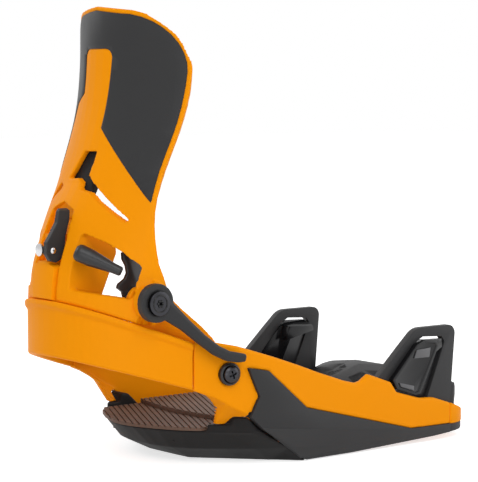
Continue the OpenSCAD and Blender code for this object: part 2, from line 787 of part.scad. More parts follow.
module hinge_axis(r, y0, y1) {
    translate([-hinge_x, -y0, hinge_z]) rotate([90, 0, 0]) cylinder(r = r, h = y1 - y0);
}

module latch_axis(r, y0, y1) {
    translate([latch_x, -y0, latch_z]) rotate([90, 0, 0]) cylinder(r = r, h = y1 - y0);
}

// Plan of the room inside the band, where the wings of the shell reach below its rim
module inside_cup() {
    a0 = heel_angle(cup_front);
    polygon(concat([for (i = [0 : 24]) heel_pt(a0 + (180 - 2 * a0) * i / 24, band_out - band_t - 1.2)]));
}

// Box behind the spine that carries the latch
module housing() {
    across(2 * housing_half) polygon([
        [-160, 80], [-130, 80], [-122, 99.5], [-111.7, 123.1], [-112.4, 127], [-128, 150], [-160, 150]
    ]);
}

boss_out = 56;
far_boss = 53;
crank_out = eye_out - ear_t - 2.2;
module highback() {
    color(orange) difference() {
        union() {
            intersection() {
                hb_layer(-hb_t, 0, hb_foot - 6, hb_top + 2);
                along(-200, 0) hb_crown();
            }
            intersection() {
                hb_core(-0.4, housing_half + 3, -98, 84, 156);
                housing();
            }
            hinge_axis(12.2, boss_out - 5.2, boss_out);
            mirror([0, 1, 0]) hinge_axis(10, far_boss - 4, far_boss);
        }
        along(-200, -60) upper_openings();
        difference() {
            both_sides() along(-200, -60) side_window();
            housing();
        }
        intersection() {
            hb_layer(-trough_depth, 3, 80, 156, 8, 8, hb_u(16));
            along(-200, -120) trough_outline();
        }
        translate([-136.4, -9, 80]) cube([40, 18, 51]);
        latch_axis(shaft_r + run_gap, -16, 30);
        both_sides() hinge_axis(sleeve_r + run_gap, 30, 70);
        mirror([0, 1, 0]) hinge_axis(8, far_boss, 64);
        both_sides() hinge_axis(ear_r + 1.3, 30, eye_out + 0.6);
        both_sides() side_slab(30, eye_out + 0.6)
            translate([-hinge_x - 6.4, hinge_z - 20]) square([30, 20]);
        both_sides() across_front_cut();
        difference() {
            translate([-300, -100, 0]) cube([300, 200, 200]);
            above_rim(rim_gap);
            intersection() {
                above_rim(-5);
                linear_extrude(200) inside_cup();
            }
            translate([-300, -100, 130]) cube([300, 200, 200]);
        }
        intersection() {
            hb_layer(-skin_t, 2, 140, hb_top + 4);
            along(-200, 0) skin_outline();
        }
    }
}

// Clears the wing in front of the hinge so that it can swing past the heelcup
module across_front_cut() {
    side_slab(30, 90) difference() {
        translate([-hinge_x, hinge_z - 40]) square([60, 46]);
        translate([-hinge_x, hinge_z]) circle(13.2);
    }
}

function hb_width(z) = flow(hb_sections, (z - hb_foot) / (hb_top - hb_foot), 2);
// Front view of the shell between its side edges, set in by e
module hb_edges(e) {
    right = [for (z = [130 : 8 : 290]) [hb_width(z) - e, z]];
    polygon(concat(right, [for (p = reversed(right)) [-p.x, p.y]]));
}

// Front view of the grey skin: the upper shell less a tab on the spine
module skin_outline(e = 0) {
    difference() {
        offset(delta = -e) difference() {
            intersection() {
                hb_crown(2.2);
                hb_edges(2.2);
            }
            polygon([[-200, 0], [-200, 149], [-51, 149], [-10.4, 193.6], [10.4, 214], [25, 207],
                [36, 190], [56, 149], [200, 149], [200, 0]]);
        }
        offset(delta = e) hull() {
            for (s = [-1, 1]) translate([s * 7.6, 233]) circle(5);
            translate([-10.4, 190]) square([22.8, 2]);
        }
    }
}

module highback_skin() {
    color(dark) intersection() {
        hb_layer(-skin_t + 0.05, 0.15, 142, hb_top + 3);
        along(-200, 0) skin_outline(0.1);
    }
}

pad_t = 5;
module pad_outline() {
    polygon(concat(
        [[-12, 152], [12, 152], [12.5, 178], [26, 196], [34, 206]],
        [for (a = [0 : 15 : 180]) [34 * cos(a), 216 + 20 * sin(a)]],
        [[-34, 206], [-26, 196], [-12.5, 178]]
    ));
}

module highback_pad() {
    color(black) intersection() {
        hb_layer(-hb_t - pad_t, -hb_t - 0.05, 148, 240, 16, 24);
        along(-200, 0) pad_outline();
    }
}

// ---- hinge ----

module hinge_sleeves() {
    ear_in = eye_out - ear_t;
    color(chrome) {
        hinge_sleeve(ear_in, boss_out + 4.9);
        mirror([0, 1, 0]) hinge_sleeve(ear_in, far_boss + 0.4);
    }
}

module hinge_sleeve(ear_in, out) {
    difference() {
        union() {
            hinge_axis(sleeve_r - 0.01, ear_in - 1.5, out);
            hinge_axis(7.2, ear_in - 1.6, ear_in - 0.05);
        }
        hinge_axis(3.02, ear_in - 3, 80);
    }
}

module hinge_bolts() {
    color(black) {
        difference() {
            union() {
                hinge_axis(3, crank_out - 4, 62);
                hinge_axis(6.8, boss_out + 5, boss_out + 7.6);
            }
            hinge_axis(2, boss_out + 6.2, 80, $fn = 6);
        }
        mirror([0, 1, 0]) difference() {
            union() {
                hinge_axis(3, eye_out - ear_t - 1, far_boss + 1);
                hinge_axis(7, far_boss + 0.5, far_boss + 2.4);
            }
            hinge_axis(2, far_boss + 1.5, 80, $fn = 6);
        }
    }
}

// ---- release lever ----

// Centre line of the lever arm: place along x, sideways step and drop from the hinge
lever_line = [
    [0, 0, 0, 7], [0.14, 1.4, -4.6, 5.4], [0.32, 4.4, -12.6, 3.7], [0.5, 7.8, -21.4, 3.1],
    [0.66, 10.4, -28, 3], [0.8, 12, -31.6, 2.9], [0.92, 13.1, -32.8, 2.8], [1, 13.7, -33.2, 2.2]
];
lever_mid = boss_out + 2.9;
lever_half = 2.5;

function lever_ring(i) =
    let (
        n = len(lever_line),
        a = lever_line[max(i - 1, 0)],
        b = lever_line[min(i + 1, n - 1)],
        c = lever_line[i],
        k = lever_len * 0.86,
        d = [(b[0] - a[0]) * k, b[2] - a[2]],
        up = [-d.y, d.x] / norm(d),
        w = c[3]
    )
    [for (q = [[-1, -0.5], [-0.55, -1], [0.55, -1], [1, -0.5], [1, 0.5], [0.55, 1], [-0.55, 1], [-1, 0.5]])
        [-hinge_x + c[0] * k + up.x * w * q[1], -lever_mid - c[1] + lever_half * q[0],
         hinge_z + c[2] + up.y * w * q[1]]];

module release_lever() {
    color(dark) difference() {
        union() {
            loft([for (i = [0 : len(lever_line) - 1]) lever_ring(i)]);
            hinge_axis(10.8, boss_out + 0.4, boss_out + 5.4);
        }
        hinge_axis(sleeve_r + run_gap, 40, 90);
        hinge_axis(7.2, boss_out + 4.95, 90);
    }
}

// Plate on the hinge whose fork takes the end of the rocker arm
module lever_crank() {
    color(dark) difference() {
        side_slab(crank_out - 2.6, crank_out) {
            translate([-hinge_x, hinge_z]) circle(6.4);
            polygon([
                [-hinge_x + 5.8, hinge_z + 2.6], [-110.2, 112], [-112.2, 119.4], [-116, 124.2], [-119.5, 125.8],
                [-121.9, 124.8], [-121.6, 121.2], [-119.4, 117.4], [-118.6, 113.4], [-120.2, 110.4],
                [-124.6, 107.6], [-125.4, 105.4], [-122, 103], [-hinge_x - 5.8, hinge_z - 2.6]
            ]);
        }
        hinge_axis(3 + run_gap, 30, 60);
    }
}

// ---- heel latch ----

module latch_pawl() {
    color(chrome) difference() {
        union() {
            latch_axis(5.4, -7.6, 7.6);
            side_slab(-6, 6) polygon([
                [latch_x - 2, latch_z - 5], [latch_x + 5, latch_z + 2], [latch_x + 12, latch_z - 3],
                [latch_x + 17.5, latch_z - 12], [latch_x + 15.5, latch_z - 14], [latch_x + 4, latch_z - 13]
            ]);
        }
        latch_axis(shaft_r - 0.01, -30, 30);
    }
}

rod_tail = [-142.3, -25, 125.5];
rod_tip = [-124.6, -42, 114.6];
module rocker_arm() {
    d = rod_tip - rod_tail;
    l = norm(d);
    color(black) union() {
        translate(rod_tail) rotate([0, acos(d.z / l), atan2(d.y, d.x)]) rotate_extrude()
            polygon([[0, -1.6], [3.2, -1.3], [4.6, 0], [5, 1.6], [4.8, 8], [2.9, l - 5], [2.7, l - 0.8], [2, l],
                [0, l]]);
        latch_axis(shaft_r, -14, 33);
    }
}

// ---- forward lean adjuster ----

lean_x = -148;
lean_z = 125.5;
block_half = 5.4;

module lean_block() {
    color(orange) difference() {
        intersection() {
            hb_layer(-trough_depth + 0.35, 1.5, 84, 150, 8, 8, hb_u(16));
            along(-200, -120) polygon([[-9, 80], [9, 80], [10.3, 112], [10.3, 116], [block_half, 118],
                [block_half, 134], [-block_half, 134], [-block_half, 118], [-10.3, 116], [-10.3, 112]]);
            above_rim(0.35);
        }
        translate([-170, -20, 119]) cube([26.6, 40, 40]);
        translate([-160, 0, lean_z]) rotate([0, 90, 0]) cylinder(r = 2.1, h = 30);
    }
}

module lean_screw() {
    color(chrome) difference() {
        union() {
            translate([lean_x - 3, 0, lean_z]) rotate([0, 90, 0]) cylinder(r = 2, h = 12.6);
            translate([lean_x - 3.6, 0, lean_z]) rotate([0, 90, 0]) cylinder(r = 3.5, h = 1.6);
        }
        translate([lean_x, 10, lean_z]) rotate([90, 0, 0]) cylinder(r = 1.35, h = 20);
    }
}

module lean_pin() {
    color(chrome) translate([lean_x, 5.2, lean_z]) rotate([90, 0, 0]) cylinder(r = 1.3, h = 15);
}

module lean_lever() {
    color(dark) difference() {
        intersection() {
            side_slab(-0.6, 9.4) polygon([
                [-136, 150.6], [-140.4, 151], [-143.6, 147.4], [-145, 141], [-148.4, 135.6],
                [-152.2, 130], [-152.4, 123.6], [-150, 119.8], [-146, 118.7], [-142.6, 120.4],
                [-140.4, 124.4], [-139.6, 133], [-136.8, 143]
            ]);
            along(-200, -120) trough_outline(1.1);
        }
        side_slab(-5.9, 5.9) polygon([[-160, 110], [-130, 110], [-130, 136], [-146, 137.4], [-160, 131]]);
        translate([lean_x, 20, lean_z]) rotate([90, 0, 0]) cylinder(r = 1.3 + run_gap, h = 40);
    }
}

baseplate();
base_cushion();
side_panel_lateral();
side_panel_medial();
toe_bumper();
toe_skid();
toe_ramp();
heel_footbed();
mid_footbed();
disc();
heelcup();
heelcup_screws();
heelcup_washers();
heelcup_nuts();
toe_hook_lateral();
toe_hook_medial();
toe_catch_lateral();
toe_catch_medial();
toe_hook_screws();
hinge_sleeves();
hinge_bolts();
release_lever();
lever_crank();
highback();
highback_skin();
highback_pad();
latch_pawl();
rocker_arm();
lean_block();
lean_screw();
lean_pin();
lean_lever();
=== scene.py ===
# %% [markdown]
# # A strapless step-in snowboard binding, from a moulded frame to a lit scene
#
# The binding is a family of moulded nylon pieces: an orange frame with a hoop behind the heel,
# a tall highback that folds forward, dark grey trim, toe hooks, a heel latch and the small levers
# that work them. The engineering model is already packed, with its joints. This file dresses it:
# each cell takes one piece or one finish, says what it is on the real object, and makes it.

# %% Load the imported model
import json
import math
import bmesh
import bpy
from mathutils import Matrix, Vector
from mathutils.bvhtree import BVHTree


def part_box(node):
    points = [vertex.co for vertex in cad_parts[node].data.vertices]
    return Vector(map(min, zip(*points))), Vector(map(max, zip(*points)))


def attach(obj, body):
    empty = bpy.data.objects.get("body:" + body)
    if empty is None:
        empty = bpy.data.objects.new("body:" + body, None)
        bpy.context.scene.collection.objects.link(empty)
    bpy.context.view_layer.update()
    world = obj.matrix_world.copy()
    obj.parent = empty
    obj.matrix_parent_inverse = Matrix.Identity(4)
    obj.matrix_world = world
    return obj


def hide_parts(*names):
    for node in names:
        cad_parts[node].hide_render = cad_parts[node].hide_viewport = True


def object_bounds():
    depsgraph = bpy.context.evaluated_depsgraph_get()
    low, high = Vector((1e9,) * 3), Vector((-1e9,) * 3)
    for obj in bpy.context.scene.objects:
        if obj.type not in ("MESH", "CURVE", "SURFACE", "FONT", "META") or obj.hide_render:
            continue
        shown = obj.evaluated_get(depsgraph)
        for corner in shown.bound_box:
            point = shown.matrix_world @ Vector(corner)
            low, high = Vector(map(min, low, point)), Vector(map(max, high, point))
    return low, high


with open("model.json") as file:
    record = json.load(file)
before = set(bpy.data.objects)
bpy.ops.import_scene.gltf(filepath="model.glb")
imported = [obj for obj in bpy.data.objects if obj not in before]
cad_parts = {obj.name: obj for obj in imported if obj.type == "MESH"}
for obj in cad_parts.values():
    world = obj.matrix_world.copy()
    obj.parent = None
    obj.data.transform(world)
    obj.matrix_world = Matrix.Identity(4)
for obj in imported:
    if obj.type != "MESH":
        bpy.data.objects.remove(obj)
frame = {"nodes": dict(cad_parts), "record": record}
cad_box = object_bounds()

MM = 0.001
nodes = frame["nodes"]
record = frame["record"]
body_of = {n: body for body, names in record["behaviour"]["bodies"].items() for n in names}
hinge = Vector((-114, 0, 98)) * MM
lean_pin_centre = Vector((-148, 0, 125.5)) * MM
size_mm = [round((cad_box[1][i] - cad_box[0][i]) / MM) for i in range(3)]
print("nodes", len(nodes), "size in mm", size_mm)

# %% [markdown]
# ## The camera
#
# A long lens from well back keeps the rails nearly parallel, as a catalogue picture does. The
# camera stands behind the heel and a little above the board, so it is placed by an azimuth, an
# elevation and a distance from a point in the middle of the binding. Working it out from those
# three numbers is easier to correct than typing a location and three angles.

# %% Place the camera
aim = Vector((-7.26, 0, 123.45)) * MM
azimuth, elevation, distance = math.radians(-39), math.radians(4.47), 1.2
towards = Vector((math.sin(azimuth) * math.cos(elevation), -math.cos(azimuth) * math.cos(elevation),
                  math.sin(elevation)))
eye = bpy.data.cameras.new("catalogue lens")
eye.lens = 148.0
eye.sensor_width = 36.0
eye.clip_start = 0.05
camera = bpy.data.objects.new("camera", eye)
camera.location = aim + towards * distance
camera.rotation_euler = (aim - camera.location).to_track_quat("-Z", "Y").to_euler()
bpy.context.collection.objects.link(camera)
bpy.context.scene.camera = camera
print("camera at", [round(v, 3) for v in camera.location])

# %% [markdown]
# ## Effects that several finishes share
#
# Glass-filled nylon leaves its mould with a fine sparkle and grain, and handling polishes some
# of it and leaves dust on what faces up. Each effect is a shader node group with named inputs,
# built once and set differently in each finish, so one correction reaches every material. The
# groups read Object coordinates, which stay fixed to a piece however it moves.

# %% A small helper that starts a shader group
def new_group(name, inputs, outputs):
    group = bpy.data.node_groups.new(name, "ShaderNodeTree")
    for label, kind, value in inputs:
        socket = group.interface.new_socket(label, in_out="INPUT", socket_type=kind)
        socket.default_value = value
    for label, kind in outputs:
        group.interface.new_socket(label, in_out="OUTPUT", socket_type=kind)
    return group, group.nodes.new("NodeGroupInput"), group.nodes.new("NodeGroupOutput")


def noise(tree, scale, detail=3.0, vector=None):
    node = tree.nodes.new("ShaderNodeTexNoise")
    node.inputs["Detail"].default_value = detail
    if vector is not None:
        tree.links.new(vector, node.inputs["Vector"])
    if hasattr(scale, "is_output"):
        tree.links.new(scale, node.inputs["Scale"])
    else:
        node.inputs["Scale"].default_value = scale
    return node.outputs["Fac"]


def ramp(tree, value, low, high, start=0.0, end=1.0):
    node = tree.nodes.new("ShaderNodeMapRange")
    tree.links.new(value, node.inputs["Value"])
    node.inputs["From Min"].default_value = low
    node.inputs["From Max"].default_value = high
    node.inputs["To Min"].default_value = start
    node.inputs["To Max"].default_value = end
    return node.outputs["Result"]


print("helpers ready")

# %% Mould grain: a height that feeds a Bump node
grain, g_in, g_out = new_group(
    "mould grain", [("Scale", "NodeSocketFloat", 900.0)], [("Height", "NodeSocketFloat")])
g_place = grain.nodes.new("ShaderNodeTexCoord").outputs["Object"]
fine = noise(grain, g_in.outputs["Scale"], 2.0, g_place)
grain.links.new(fine, g_out.inputs["Height"])
print("group", grain.name)

# %% Handling: broad patches where the satin is a little smoother
handling, h_in, h_out = new_group(
    "handling", [("Roughness", "NodeSocketFloat", 0.45), ("Spread", "NodeSocketFloat", 0.08)],
    [("Roughness", "NodeSocketFloat")])
h_place = handling.nodes.new("ShaderNodeTexCoord").outputs["Object"]
patches = ramp(handling, noise(handling, 28.0, 4.0, h_place), 0.35, 0.65, -0.5, 0.5)
spread = handling.nodes.new("ShaderNodeMath")
spread.operation = "MULTIPLY_ADD"
handling.links.new(patches, spread.inputs[0])
handling.links.new(h_in.outputs["Spread"], spread.inputs[1])
handling.links.new(h_in.outputs["Roughness"], spread.inputs[2])
handling.links.new(spread.outputs[0], h_out.inputs["Roughness"])
print("group", handling.name)

# %% Dust: a faint paler film on what faces up
dust, d_in, d_out = new_group(
    "dust", [("Color", "NodeSocketColor", (0.5, 0.5, 0.5, 1)),
             ("Film", "NodeSocketColor", (0.5, 0.47, 0.43, 1)),
             ("Amount", "NodeSocketFloat", 0.05)], [("Color", "NodeSocketColor")])
facing_up = dust.nodes.new("ShaderNodeSeparateXYZ")
dust.links.new(dust.nodes.new("ShaderNodeNewGeometry").outputs["Normal"], facing_up.inputs[0])
d_place = dust.nodes.new("ShaderNodeTexCoord").outputs["Object"]
settled = dust.nodes.new("ShaderNodeMath")
settled.operation = "MULTIPLY"
dust.links.new(ramp(dust, facing_up.outputs["Z"], 0.5, 1.0), settled.inputs[0])
dust.links.new(ramp(dust, noise(dust, 60.0, 6.0, d_place), 0.4, 0.7), settled.inputs[1])
amount = dust.nodes.new("ShaderNodeMath")
amount.operation = "MULTIPLY"
dust.links.new(settled.outputs[0], amount.inputs[0])
dust.links.new(d_in.outputs["Amount"], amount.inputs[1])
film = dust.nodes.new("ShaderNodeMix")
film.data_type = "RGBA"
dust.links.new(amount.outputs[0], film.inputs["Factor"])
dust.links.new(d_in.outputs["Color"], film.inputs["A"])
dust.links.new(d_in.outputs["Film"], film.inputs["B"])
dust.links.new(film.outputs["Result"], d_out.inputs["Color"])
print("group", dust.name)

# %% [markdown]
# ## The finishes
#
# Five plastics, a foam, the footbeds' rubber and two metals cover the whole binding. All but the
# metals are one recipe with different numbers: a plain colour with a trace of dust, satin roughness
# from the handling group and a very low bump from the grain group. The colour sits on the group's
# own input, and everything that is the same all over a piece sits on the shader's own sockets.

# %% One recipe for moulded plastic, rubber and foam
def srgb(r, g, b):
    return tuple((v / 255 / 12.92) if v / 255 <= 0.04045 else ((v / 255 + 0.055) / 1.055) ** 2.4
                 for v in (r, g, b)) + (1.0,)


def group_node(tree, group, **values):
    node = tree.nodes.new("ShaderNodeGroup")
    node.node_tree = group
    for label, value in values.items():
        node.inputs[label].default_value = value
    return node


def moulded(name, colour, roughness, spread=0.08, grain_scale=900.0, bump=0.05, dusty=0.05,
            coat=0.0, sheen=0.5):
    """Plastic, rubber or foam; sheen is the strength of its plain reflection."""
    material = bpy.data.materials.new(name)
    material.use_nodes = True
    tree = material.node_tree
    shader = tree.nodes["Principled BSDF"]
    film_node = group_node(tree, dust, Color=colour, Amount=dusty)
    tree.links.new(film_node.outputs["Color"], shader.inputs["Base Color"])
    satin = group_node(tree, handling, Roughness=roughness, Spread=spread)
    tree.links.new(satin.outputs["Roughness"], shader.inputs["Roughness"])
    relief = tree.nodes.new("ShaderNodeBump")
    relief.inputs["Strength"].default_value = bump
    relief.inputs["Distance"].default_value = 0.0004
    tree.links.new(group_node(tree, grain, Scale=grain_scale).outputs["Height"], relief.inputs["Height"])
    tree.links.new(relief.outputs["Normal"], shader.inputs["Normal"])
    shader.inputs["Specular IOR Level"].default_value = sheen
    shader.inputs["Coat Weight"].default_value = coat
    shader.inputs["Coat Roughness"].default_value = 0.15
    material.diffuse_color = colour
    return material


orange = moulded("orange glass-filled nylon", srgb(255, 156, 0), 0.5, dusty=0.0, sheen=0.08)
grey = moulded("dark grey nylon", srgb(49, 49, 50), 0.5, bump=0.12, dusty=0.02, sheen=0.22)
black = moulded("black nylon", srgb(32, 32, 34), 0.36, dusty=0.02, sheen=0.4)
gloss_black = moulded("polished black catch", srgb(20, 20, 22), 0.2, bump=0.01, dusty=0.0, coat=0.12,
                      sheen=0.25)
catch_pad = moulded("catch pad", srgb(92, 92, 94), 0.35, dusty=0.0, sheen=0.4)
foam = moulded("black foam", srgb(26, 25, 25), 0.66, grain_scale=500.0, bump=0.18, dusty=0.02, sheen=0.2)
tread = moulded("ribbed footbed", srgb(96, 72, 58), 0.66, grain_scale=500.0, bump=0.15, dusty=0.08)
print("moulded finishes", len(bpy.data.materials))

# %% Metals: plated steel and black oxide
def metal(name, colour, roughness, spread=0.06):
    material = bpy.data.materials.new(name)
    material.use_nodes = True
    tree = material.node_tree
    shader = tree.nodes["Principled BSDF"]
    shader.inputs["Base Color"].default_value = colour
    shader.inputs["Metallic"].default_value = 1.0
    satin = group_node(tree, handling, Roughness=roughness, Spread=spread)
    tree.links.new(satin.outputs["Roughness"], shader.inputs["Roughness"])
    material.diffuse_color = colour
    return material


plated = metal("plated steel", (0.55, 0.55, 0.56, 1.0), 0.22)
oxide = metal("black oxide steel", (0.045, 0.045, 0.05, 1.0), 0.34)
print("metals", [m.name for m in (plated, oxide)])

# %% [markdown]
# ## Turning engineering solids into moulded pieces
#
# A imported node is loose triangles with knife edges. Real mouldings have a small radius on every
# edge, and it is that radius which catches the light. For crisp pieces a copy is merged, its flat
# areas dissolved back into whole faces, and its sharp edges bevelled. Bevelling a mesh of loose
# triangles would round every triangle instead, so the merging comes first.

# %% Copy a node as one merged mesh
slot_of = {"orange": "orange_nylon", "grey": "grey_nylon", "black": "black_nylon", "foam": "foam",
           "steel": "steel", "black steel": "black_steel"}
finish_of = {"orange": orange, "grey": grey, "black": black, "foam": foam, "steel": plated,
             "black steel": oxide}
WELD = 2e-6


def merged(name):
    bm = bmesh.new()
    bm.from_mesh(nodes[name].data)
    bmesh.ops.remove_doubles(bm, verts=bm.verts, dist=WELD)
    bmesh.ops.dissolve_degenerate(bm, dist=WELD, edges=bm.edges)
    return bm


def as_object(name, bm):
    mesh = bpy.data.meshes.new(name)
    bm.to_mesh(mesh)
    bm.free()
    piece = bpy.data.objects.new(name, mesh)
    bpy.context.collection.objects.link(piece)
    return piece


def apply_modifiers(piece):
    shape = bpy.data.meshes.new_from_object(piece.evaluated_get(bpy.context.evaluated_depsgraph_get()))
    piece.modifiers.clear()
    piece.data = shape
    return piece


def smooth_by_angle(piece, degrees):
    piece.data.shade_smooth()
    piece.data.set_sharp_from_angle(angle=math.radians(degrees))
    return piece


def install(piece, body, slot, *replaced):
    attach(piece, body)
    if replaced:
        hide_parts(*replaced)
    return piece


# %% [markdown]
# ## Prisms and plane cuts
#
# A few small changes of shape are easiest to say in the side view, in millimetres: add a bar with
# this outline, or take off what lies beyond this line. A boolean would do both, but it is slow and
# leaves slivers on dense meshes. A closed prism laid into or beside the shape, and a plane cut with
# a filled rim, do without it.

# %% Small helpers for meshes: prisms across the binding, plane cuts and a search tree
def prism(bm, outline, y0, y1):
    """Adds a closed prism: a side-view outline in millimetres, drawn from y0 to y1."""
    near = [bm.verts.new(Vector((x, y0, z)) * MM) for x, z in outline]
    far = [bm.verts.new(Vector((x, y1, z)) * MM) for x, z in outline]
    made = [bm.faces.new(near), bm.faces.new(list(reversed(far)))]
    for k in range(len(outline)):
        n = (k + 1) % len(outline)
        made.append(bm.faces.new((near[n], near[k], far[k], far[n])))
    bmesh.ops.recalc_face_normals(bm, faces=made)
    return made


def cut(bm, point, normal):
    """Cuts off what lies beyond a plane, given in millimetres, and closes the cut."""
    bmesh.ops.bisect_plane(bm, geom=bm.verts[:] + bm.edges[:] + bm.faces[:], plane_co=Vector(point) * MM,
                           plane_no=Vector(normal).normalized(), clear_outer=True, dist=1e-7)
    bmesh.ops.holes_fill(bm, edges=[e for e in bm.edges if e.is_boundary], sides=0)
    return bm


def tree_of(name):
    """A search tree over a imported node, for distances and rays."""
    bm = merged(name)
    tree = BVHTree.FromBMesh(bm)
    bm.free()
    return tree


print("mesh helpers ready")

# %% [markdown]
# ## Crisp pieces
#
# Hooks, side panels, ramp, skid, bumper and disc have flat faces and clear edges. One function
# bevels them all, and a small step in between changes the shape where the photograph asks for it:
# hooks with a leaner heel side, a ramp whose rear falls away to both sides, and side panels with
# one broad facet. All of these are plane faces, so plane cuts and one low closed solid say them
# exactly, where sculpting would blur them.

# %% Bevel the sharp edges of a merged copy
FLAT_ANGLE = 0.6


def crisp(name, finish, edge=0.4, sharp=30.0, material=None, segments=2, hold=38.0, change=None):
    bm = merged(name)
    bmesh.ops.dissolve_limit(bm, angle_limit=math.radians(FLAT_ANGLE), verts=bm.verts, edges=bm.edges)
    if change:
        change(bm)
    piece = as_object(name + "_moulded", bm)
    bevel = piece.modifiers.new("edge radius", "BEVEL")
    bevel.width = edge * MM
    bevel.segments = segments
    bevel.limit_method = "ANGLE"
    bevel.angle_limit = math.radians(sharp)
    bevel.use_clamp_overlap = True
    apply_modifiers(piece)
    smooth_by_angle(piece, hold)
    piece.data.materials.clear()
    piece.data.materials.append(material or finish_of[finish])
    return install(piece, body_of[name], slot_of[finish], name)


print("bevel helper ready")

# %% Hooks with a leaner heel side, and a ramp whose rear falls away to both sides
HOOK_HEEL_POINT, HOOK_HEEL_NORMAL = (37.5, 0, 34), (-25, 0, 28)
RAMP_POINT, RAMP_NORMAL = (72, 12, 31), (-315, 259, 1035)


def lean_hook(bm):
    cut(bm, HOOK_HEEL_POINT, HOOK_HEEL_NORMAL)


def falling_ramp(bm):
    (x, y, z), (nx, ny, nz) = RAMP_POINT, RAMP_NORMAL
    for side in (1, -1):
        cut(bm, (x, y * side, z), (nx, ny * side, nz))


print("hooks cut through", HOOK_HEEL_POINT, "ramp through", RAMP_POINT)

# %% Side panels with one broad facet that catches the light
PANEL_FACE = 70.45
FACET_RISE = 1.5
FACET_TOP = [(-48, 23), (65, 9.9)]
FACET_RIDGE = [(-25, 9.3), (12, 6.6)]
FACET_FOOT = [(-18.4, 1.9), (53, 4.6)]


def facets(bm, side):
    """Clips the CAD's ridge at the panel's face and lays a low solid with one ridge on it."""
    cut(bm, (0, side * PANEL_FACE, 0), (0, side, 0))
    flat = {p: bm.verts.new(Vector((p[0], side * PANEL_FACE, p[1])) * MM) for p in FACET_TOP + FACET_FOOT}
    out = {p: bm.verts.new(Vector((p[0], side * (PANEL_FACE + FACET_RISE), p[1])) * MM)
           for p in FACET_RIDGE}
    a, b = (flat[p] for p in FACET_TOP)
    c, d = (out[p] for p in FACET_RIDGE)
    e, f = (flat[p] for p in FACET_FOOT)
    loops = ((a, b, d, c), (c, d, f, e), (d, b, f), (a, c, e), (b, a, e, f))
    bmesh.ops.recalc_face_normals(bm, faces=[bm.faces.new(loop) for loop in loops])


crisp_pieces = [crisp("toe_hook_lateral", "grey", 1.5, segments=3, change=lean_hook),
                crisp("toe_hook_medial", "grey", 1.5, segments=3, change=lean_hook),
                crisp("side_panel_lateral", "grey", 0.3, change=lambda bm: facets(bm, -1)),
                crisp("side_panel_medial", "grey", 0.3, change=lambda bm: facets(bm, 1)),
                crisp("toe_ramp", "grey", 0.7, change=falling_ramp),
                crisp("toe_skid", "grey", 0.5),
                crisp("toe_bumper", "orange", 0.7),
                crisp("disc", "black", 0.3)]
print("bevelled", [p.name for p in crisp_pieces])

# %% [markdown]
# ## The large shells
#
# The highback, the hoop and the frame are one flowing surface each, with openings cut through.
# Bevelling fails on such meshes because their facets are small and their cut edges are ragged. A
# voxel remesh turns the solid into even quads and a few smoothing passes then give every edge the
# same soft radius at once, which is just how thick moulded nylon looks.

# %% Remould a solid: even quads, smoothed, then thinned where it is flat
TRIANGLE_LIMIT = 190000


def remould(name, finish, voxel=0.6, passes=8, change=None, shift=None):
    """Remeshes a node; change works on the solid before, shift on the vertices after."""
    bm = merged(name)
    if change:
        change(bm)
    piece = as_object(name + "_moulded", bm)
    grid = piece.modifiers.new("even quads", "REMESH")
    grid.mode = "VOXEL"
    grid.voxel_size = voxel * MM
    soft = piece.modifiers.new("mould radius", "SMOOTH")
    soft.factor = 0.5
    soft.iterations = passes
    apply_modifiers(piece)
    triangles = 2 * len(piece.data.polygons)
    keep = min(1.0, TRIANGLE_LIMIT / triangles)
    if keep < 1.0:
        thin = piece.modifiers.new("thin", "DECIMATE")
        thin.ratio = keep
        apply_modifiers(piece)
    if shift:
        shift(piece.data.vertices)
    piece.data.shade_smooth()
    piece.data.materials.clear()
    piece.data.materials.append(finish_of[finish])
    print(piece.name, triangles, "triangles kept at", round(keep, 2))
    return install(piece, body_of[name], slot_of[finish], name)


# %% [markdown]
# ## Trimming the shells
#
# The highback's crown turns down to its front edges in one round sweep, a chain of plane cuts that
# the smoothing rounds off. Its lower edge sits close on the hoop. Looking straight down on the hoop
# from each vertex follows the hoop's curve without writing it down again. The near boss is drawn in
# toward the hinge, so that it hides behind the eye of the release lever.

# %% Adjusting steps of the shells: outlines and radii in millimetres, limits on vertices in metres
CROWN = [(-83.8, 220), (-84.1, 227), (-87.7, 240.2), (-89.8, 245.4), (-93.4, 250.5),
         (-99.5, 257.4), (-104, 260)]
PLUG = [(-132, 143), (-124.5, 143), (-127, 151.5), (-132, 153.6)]
PLUG_HALF_WIDTH = 9
RIM_TOP, RIM_FRONT = 0.108, -0.117
RIM_REACH, RIM_GAP = 0.003, 0.0003
BOSS_EDGE, BOSS_HIDDEN = 13.8, 9.2
BOSS_BEHIND_EYE = ((-0.113, -0.0513), (-0.1175, -0.0502))
LEVER_FACE = -5.7


def trim_shell(bm):
    """Closes the opening above the lean lever and rounds the crown."""
    prism(bm, PLUG, -PLUG_HALF_WIDTH, PLUG_HALF_WIDTH)
    for (x0, z0), (x1, z1) in zip(CROWN, CROWN[1:]):
        cut(bm, (x0, 0, z0), (z1 - z0, 0, x0 - x1))


def stands_out(spot):
    """Whether a place is on the near boss, where it shows behind the lever's eye."""
    return any(spot.x < x and spot.y < y for x, y in BOSS_BEHIND_EYE)


